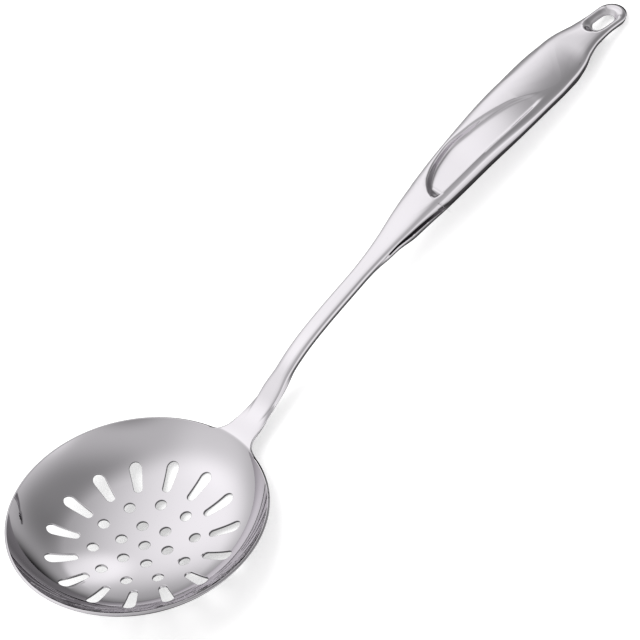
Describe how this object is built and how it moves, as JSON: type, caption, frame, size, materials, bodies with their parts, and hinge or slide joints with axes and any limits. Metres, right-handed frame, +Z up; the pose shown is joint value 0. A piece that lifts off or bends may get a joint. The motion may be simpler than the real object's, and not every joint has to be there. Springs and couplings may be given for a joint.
{
  "type": "skimmer",
  "caption": "Stainless kitchen skimmer: shallow pierced dish with radial slots and round holes, folded shank and hollow grip with a thumb recess and a hang loop",
  "frame": {"origin": "middle of the box round the part, on the table it rests on", "axes": "+X from the dish to the hang loop, +Z up, +Y to the left of someone who looks along +X; the grip's plane of symmetry is y = 0"},
  "size_m": [0.3651, 0.1144, 0.0469],
  "materials": {
    "steel": "polished stainless steel"
  },
  "bodies": {
    "root": {"skimmer": "steel"}
  },
  "joints": []
}
